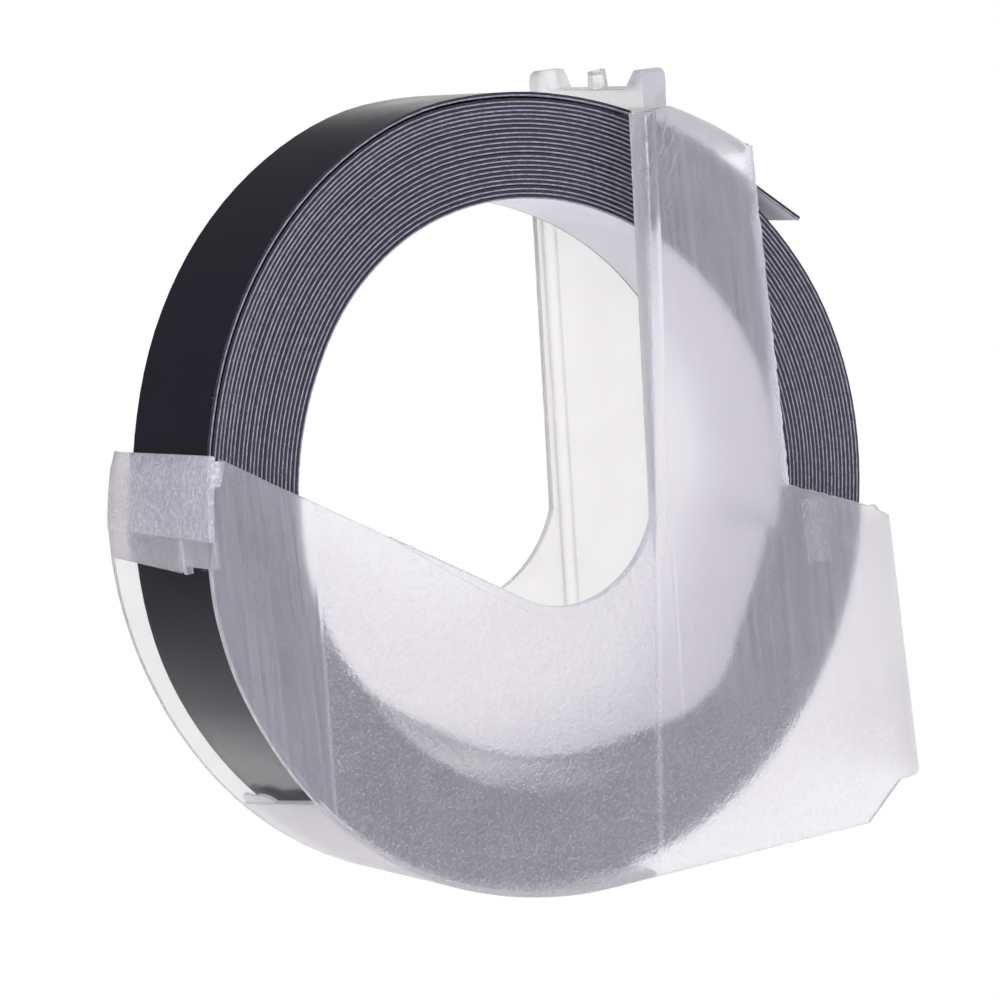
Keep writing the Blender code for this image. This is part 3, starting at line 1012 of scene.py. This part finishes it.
def tray_plastic():
    """Frosted polypropylene. The latch is thicker and hazier than the plate, most of all its upper flap."""
    m = Maths("case_tray_plastic")
    p = m.coords()
    x, y, z = m.axes(p)
    cloud = m.noise(p, 0.35, 3.0, 0.55)
    fleck = m.ramp(m.noise(p, 3.6, 3.0, 0.65), 0.36, 0.66)

    strap = m.times(m.falling(x, -24.55, -24.3), m.ramp(z, -0.7, -0.5))
    layers = m.plus(
        m.ramp(z, 1.35, 1.45, 0.18, 0.43),
        m.ramp(z, 4.4, 4.55, 0.0, 0.03),
        m.ramp(y, -4.5, -1.5, 0.06, 0.0),
    )
    layers = m.op("SUBTRACT", layers, m.ramp(y, 4.4, 4.8, 0.0, 0.30), clamp=True)
    lug = m.times(m.ramp(z, 23.6, 24.6), m.falling(y, -4.0, -2.5))
    # Painted light: the walls between the plates are whitened low down, so that the rim wall reads lighter
    under = m.times(m.falling(m.op("ABSOLUTE", y), 5.6, 5.85), m.falling(z, -17.0, -15.0))
    under = m.times(under, m.falling(x, 6.0, 10.0))

    whiten = m.plus(
        m.times(strap, layers, m.ramp(fleck, 0.0, 1.0, 0.62, 1.3)),
        m.times(lug, 0.3),
        m.times(under, 0.3),
    )
    height = m.plus(
        m.times(m.noise(p, 4.5, 2.0, 0.55), 0.012),
        m.times(m.noise(p, 13.0, 1.0, 0.5), 0.0036),
        m.times(fleck, strap, 0.03),
    )
    rough = m.ramp(m.noise(p, 1.1, 2.0), 0.3, 0.7, 0.40, 0.47)
    clarity = m.ramp(cloud, 0.3, 0.7, 0.935, 0.955)
    shade = m.ramp(m.ramp(cloud, 0.3, 0.7), 0.0, 1.0, 0.8, 1.0)
    shade = m.op("SUBTRACT", shade, m.times(m.op("SUBTRACT", 1.0, fleck), strap))
    tint = m.colour(shade, (0.90, 0.878, 0.888), (0.995, 0.978, 0.984))
    return frosted(m, clarity, whiten, rough, height, tint)


def cut_edge(m, y):
    """1 on the tape's slit edges, 0 on its faces."""
    return m.ramp(m.op("ABSOLUTE", y), HALF_TAPE - 0.16, HALF_TAPE - 0.13)


def vinyl_material():
    """Glossy black with dull rubbed patches; its slit edges carry painted glints as light specks."""
    m = Maths("tape_vinyl")
    p = m.coords()
    y = m.axes(p)[1]
    smear = m.noise(p, 0.22, 3.0, 0.55)
    edge_glints = m.noise(p, 9.0, 1.0)
    rub = m.noise(m.stretched(p, (0.5, 2.2, 0.5)), 0.6, 4.0, 0.65)
    dull = m.ramp(rub, 0.60, 0.78, 0.0, 0.5)
    face = m.colour(dull, (0.0125, 0.0105, 0.0165), (0.029, 0.027, 0.034))
    # Painted glints: light specks on the black slit edges
    edge = m.colour(m.ramp(edge_glints, 0.62, 0.78), (0.006, 0.006, 0.011), (0.10, 0.10, 0.13))
    m.link(m.colour(cut_edge(m, y), face, edge), "Base Color")
    m.link(m.plus(m.ramp(smear, 0.35, 0.7, 0.18, 0.26), m.times(dull, 0.1)), "Roughness")
    m.set(IOR=1.5)
    m.bump(m.times(m.noise(p, 1.4, 2.0), 0.003))
    return m.material


def liner_material():
    """Pale fibrous backing; its slit edges are grey, lighter in patches as painted glints."""
    m = Maths("tape_liner")
    p = m.coords()
    y = m.axes(p)[1]
    fibres = m.noise(m.stretched(p, (1.0, 0.25, 1.0)), 5.0, 3.0, 0.6)
    cloud = m.noise(p, 0.3, 2.0)
    edge_glint_patches = m.noise(p, 2.2, 3.0, 0.6)
    face = m.colour(m.ramp(cloud, 0.3, 0.7), (0.87, 0.86, 0.87), (0.91, 0.90, 0.91))
    # The grey is the slit edges' own colour; the lighter patches are painted glints
    edge = m.colour(m.ramp(edge_glint_patches, 0.35, 0.65), (0.232, 0.232, 0.258), (0.388, 0.383, 0.412))
    m.link(m.colour(cut_edge(m, y), face, edge), "Base Color")
    m.link(m.ramp(fibres, 0.3, 0.7, 0.38, 0.5), "Roughness")
    m.bump(m.times(fibres, 0.003))
    return m.material


# ---------------------------------------------------------------- build

near_plastic, far_plastic = cover_plastic(), tray_plastic()

cover = united(
    "case_cover",
    half_sheet(case_outline(-1, NEAR_SEAM), NEAR_SEAM, -1),
    [near_rib(), plate_band(band_outline(free_edge_path(-1), 0.03, 0.66), -1, 0.07), pad()]
    + tongue(),
)
tray = united(
    "case_tray",
    half_sheet(case_outline(1, FAR_SEAM), FAR_SEAM, 1),
    [far_rib(), plate_band(band_outline(free_edge_path(1), 0.03, 0.6), 1, 0.06)]
    + [bridge(), stub(), rim_wall(), torn_flake(), top_wall()]
    + strap(),
)
web = hinge_web()
for piece, plastic in ((cover, near_plastic), (tray, far_plastic), (web, far_plastic)):
    settle(piece, plastic)
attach(cover, "cover")
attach(tray, "tray")
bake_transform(web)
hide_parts("cover_plate", "cover_arm", "cover_corner", "latch_tongue")
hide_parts("tray_plate", "tray_arm", "rim_wall", "top_wall", "arm_bridge", "latch_strap", "spine_wall")

vinyl, liner = vinyl_material(), liner_material()
spiral = spiral_stations(TAIL[0][0], SPLIT_ANGLE, 3.0)
leader = leader_stations()
coil_vinyl = ribbon("coil_vinyl", spiral, LINER_THICK, THICK)
coil_liner = ribbon("coil_liner", spiral, 0.0, LINER_THICK, 0.015)
leader_vinyl = ribbon("leader_vinyl", leader, LINER_THICK, THICK)
leader_liner = ribbon("leader_liner", leader, 0.0, LINER_THICK, 0.015)
for piece, material, slot in (
    (coil_vinyl, vinyl, "tape_vinyl"),
    (leader_vinyl, vinyl, "tape_vinyl"),
    (coil_liner, liner, "tape_liner"),
    (leader_liner, liner, "tape_liner"),
):
    settle(piece, material)
for piece in (coil_vinyl, coil_liner):
    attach(piece, "coil")
for piece in (leader_vinyl, leader_liner):
    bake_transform(piece)
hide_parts("tape_coil")
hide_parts("tape_tail")
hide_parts("tape_leader")

# ---------------------------------------------------------------- camera, light and stage

TILT = Matrix.Rotation(math.radians(ROLL), 4, "Y")


def set_camera():
    azimuth, elevation = math.radians(CAMERA_AZIMUTH), math.radians(CAMERA_ELEVATION)
    back = Vector(
        (
            math.sin(azimuth) * math.cos(elevation),
            -math.cos(azimuth) * math.cos(elevation),
            math.sin(elevation),
        )
    )
    right = Vector((math.cos(azimuth), math.sin(azimuth), 0))
    up = back.cross(right)
    place = (Vector(CAMERA_LOOKS_AT) + back * CAMERA_AWAY) * MM
    pose = Matrix((right, up, back)).transposed().to_4x4()
    pose.translation = place
    data = bpy.data.cameras.new("camera")
    data.sensor_width = 36
    data.lens = CAMERA_FOCUS * data.sensor_width
    data.clip_start, data.clip_end = 0.01, 10
    camera = bpy.data.objects.new("camera", data)
    camera.matrix_world = Matrix.Translation(AXIS) @ TILT @ pose
    bpy.context.scene.collection.objects.link(camera)
    bpy.context.scene.camera = camera


def set_world():
    """A white room, dark where the glossy tape's left side mirrors it. The camera sees plain white."""
    world = bpy.data.worlds.new("studio")
    bpy.context.scene.world = world
    world.use_nodes = True
    tree = world.node_tree
    tree.nodes.clear()

    def add(kind, values=(), **settings):
        return add_node(tree, kind, values, **settings)

    direction = add("ShaderNodeTexCoord").outputs["Generated"]
    total = 1.0
    for way, near, far, change in ROOM_PATCHES:
        centre = (TILT @ Vector(way)).normalized()
        dot = add("ShaderNodeVectorMath", [(0, direction), (1, centre)], operation="DOT_PRODUCT")
        share = add(
            "ShaderNodeMapRange",
            [
                ("Value", dot.outputs["Value"]),
                ("From Min", math.cos(math.radians(far))),
                ("From Max", math.cos(math.radians(near))),
                ("To Min", 1.0),
                ("To Max", 1.0 + change),
            ],
            interpolation_type="SMOOTHSTEP",
        )
        product = add("ShaderNodeMath", [(0, total), (1, share.outputs["Result"])], operation="MULTIPLY")
        total = product.outputs[0]
    front = (TILT @ Vector(ROOM_FRONT)).normalized()
    dot = add("ShaderNodeVectorMath", [(0, direction), (1, front)], operation="DOT_PRODUCT")
    share = add(
        "ShaderNodeMapRange",
        [("Value", dot.outputs["Value"]), ("From Min", -0.2), ("From Max", 0.7)],
        interpolation_type="SMOOTHSTEP",
    )
    tint = add("ShaderNodeMix", [("Factor", share.outputs["Result"])], data_type="RGBA")
    tint.inputs[6].default_value = ROOM_BACK_TINT
    tint.inputs[7].default_value = ROOM_FRONT_TINT
    room = add("ShaderNodeBackground", [("Color", tint.outputs[2]), ("Strength", total)])
    white = add("ShaderNodeBackground", [("Color", (1, 1, 1, 1)), ("Strength", 1.0)])
    path = add("ShaderNodeLightPath")
    seen = add(
        "ShaderNodeMath",
        [(0, path.outputs["Is Camera Ray"]), (1, path.outputs["Is Transmission Ray"])],
        operation="MAXIMUM",
    )
    mix = add("ShaderNodeMixShader", [(0, seen.outputs[0]), (1, room.outputs[0]), (2, white.outputs[0])])
    add("ShaderNodeOutputWorld", [("Surface", mix.outputs[0])])


def set_floor():
    """A plain white floor that casts nothing back on the object."""
    work = bmesh.new()
    bmesh.ops.create_grid(work, x_segments=1, y_segments=1, size=0.6)
    floor = to_object("floor", work)
    floor.location.z = -0.0004
    material = bpy.data.materials.new("floor")
    material.use_nodes = True
    shader = material.node_tree.nodes["Principled BSDF"]
    shader.inputs["Base Color"].default_value = (0.0, 0.0, 0.0, 1)
    shader.inputs["Specular IOR Level"].default_value = 0.0
    shader.inputs["Emission Color"].default_value = (1, 1, 1, 1)
    shader.inputs["Emission Strength"].default_value = 1.0
    floor.data.materials.append(material)
    floor.visible_diffuse = floor.visible_glossy = floor.visible_transmission = False
    floor.visible_shadow = False


set_camera()
set_world()
set_floor()
scene = bpy.context.scene
scene.view_settings.view_transform = "Standard"
scene.cycles.max_bounces = 20
scene.cycles.transmission_bounces = 20
scene.cycles.diffuse_bounces = 8
scene.cycles.glossy_bounces = 8
